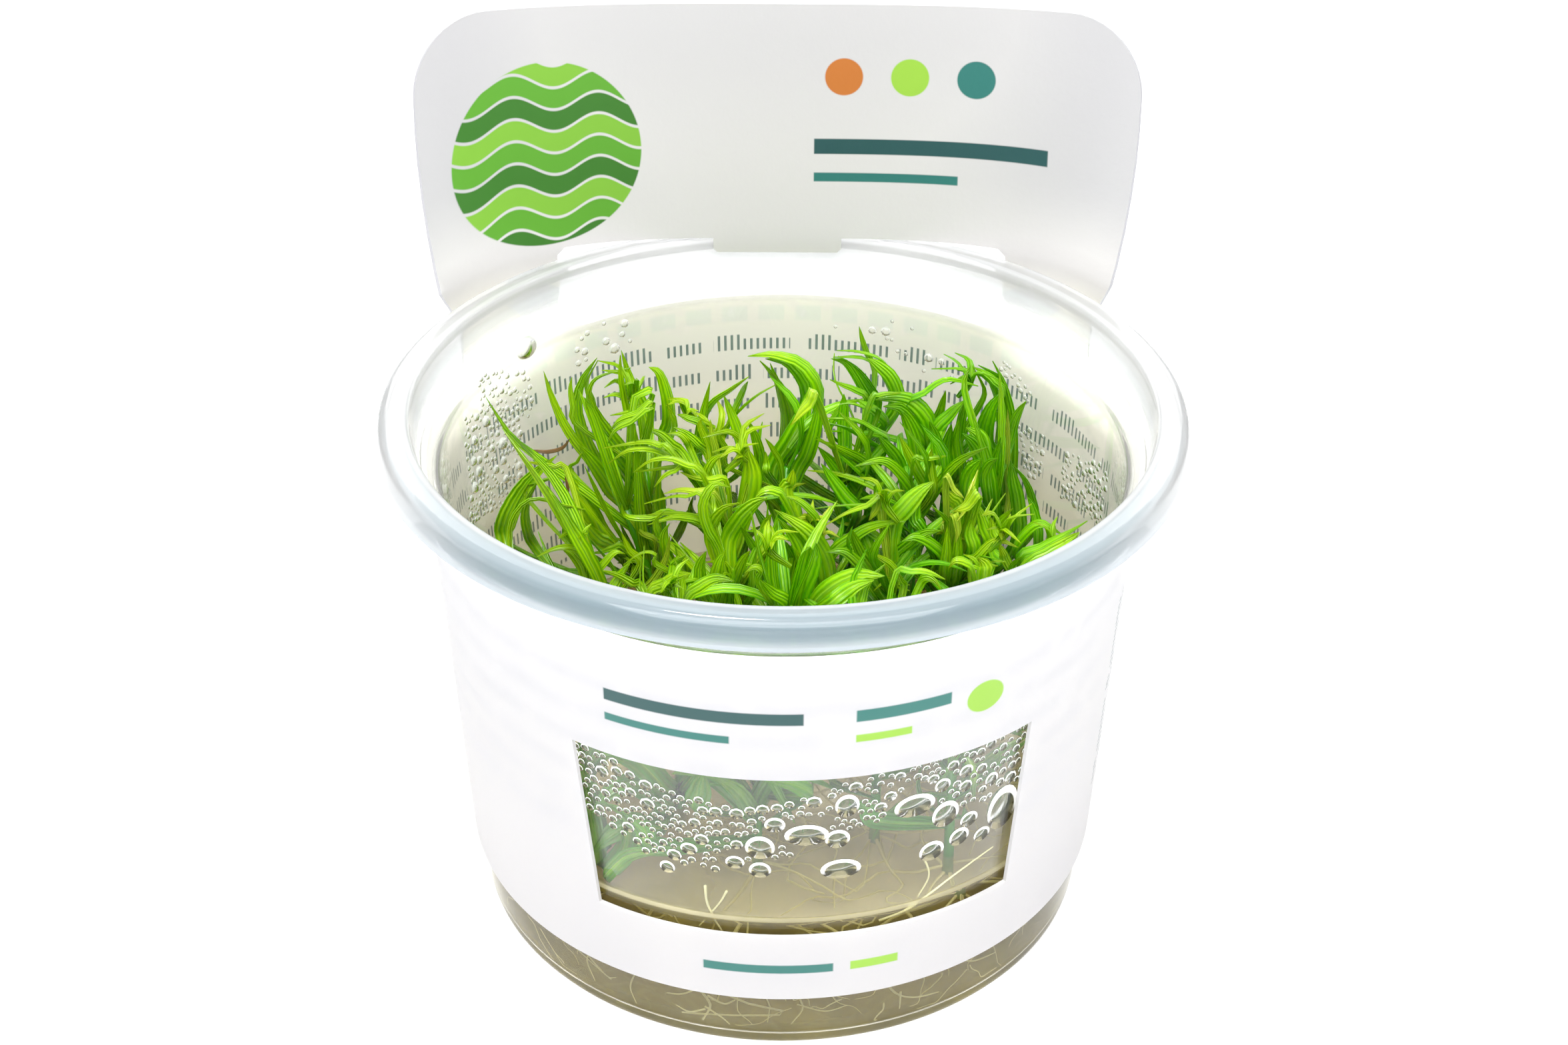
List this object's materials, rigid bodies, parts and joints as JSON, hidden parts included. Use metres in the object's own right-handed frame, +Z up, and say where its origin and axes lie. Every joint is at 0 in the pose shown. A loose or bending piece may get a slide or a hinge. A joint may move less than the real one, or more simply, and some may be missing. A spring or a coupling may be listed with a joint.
{
  "type": "tissue culture pogostemon erectus in its cup",
  "caption": "Bushy green stem plants growing in gel in a clear open plastic cup, with a printed card sleeve that has a window and stands up as a header.",
  "frame": {"origin": "centre of the cup's flat base, on the surface it stands on", "axes": "+Z up along the cup's axis, -Y towards the front with the window, +Y towards the back where the header stands"},
  "size_m": [0.102, 0.102, 0.105],
  "materials": {
    "cup_plastic": "clear, slightly milky moulded plastic with condensation inside",
    "card": "smooth white coated card with a fine dimple texture and printed marks",
    "gel": "clear olive-brown culture gel",
    "leaf": "glossy fresh green leaves, yellow-green at the young tips"
  },
  "bodies": {
    "root": {"cup": "cup_plastic", "card_sleeve": "card", "gel": "gel", "shoot_01": "leaf", "shoot_02": "leaf", "shoot_03": "leaf", "shoot_04": "leaf", "shoot_05": "leaf", "shoot_06": "leaf", "shoot_07": "leaf", "shoot_08": "leaf", "shoot_09": "leaf", "shoot_10": "leaf", "shoot_11": "leaf", "shoot_12": "leaf", "shoot_13": "leaf", "shoot_14": "leaf", "shoot_15": "leaf", "shoot_16": "leaf", "shoot_17": "leaf", "shoot_18": "leaf", "shoot_19": "leaf", "shoot_20": "leaf", "shoot_21": "leaf", "shoot_22": "leaf", "shoot_23": "leaf", "shoot_24": "leaf", "shoot_25": "leaf"}
  },
  "joints": []
}
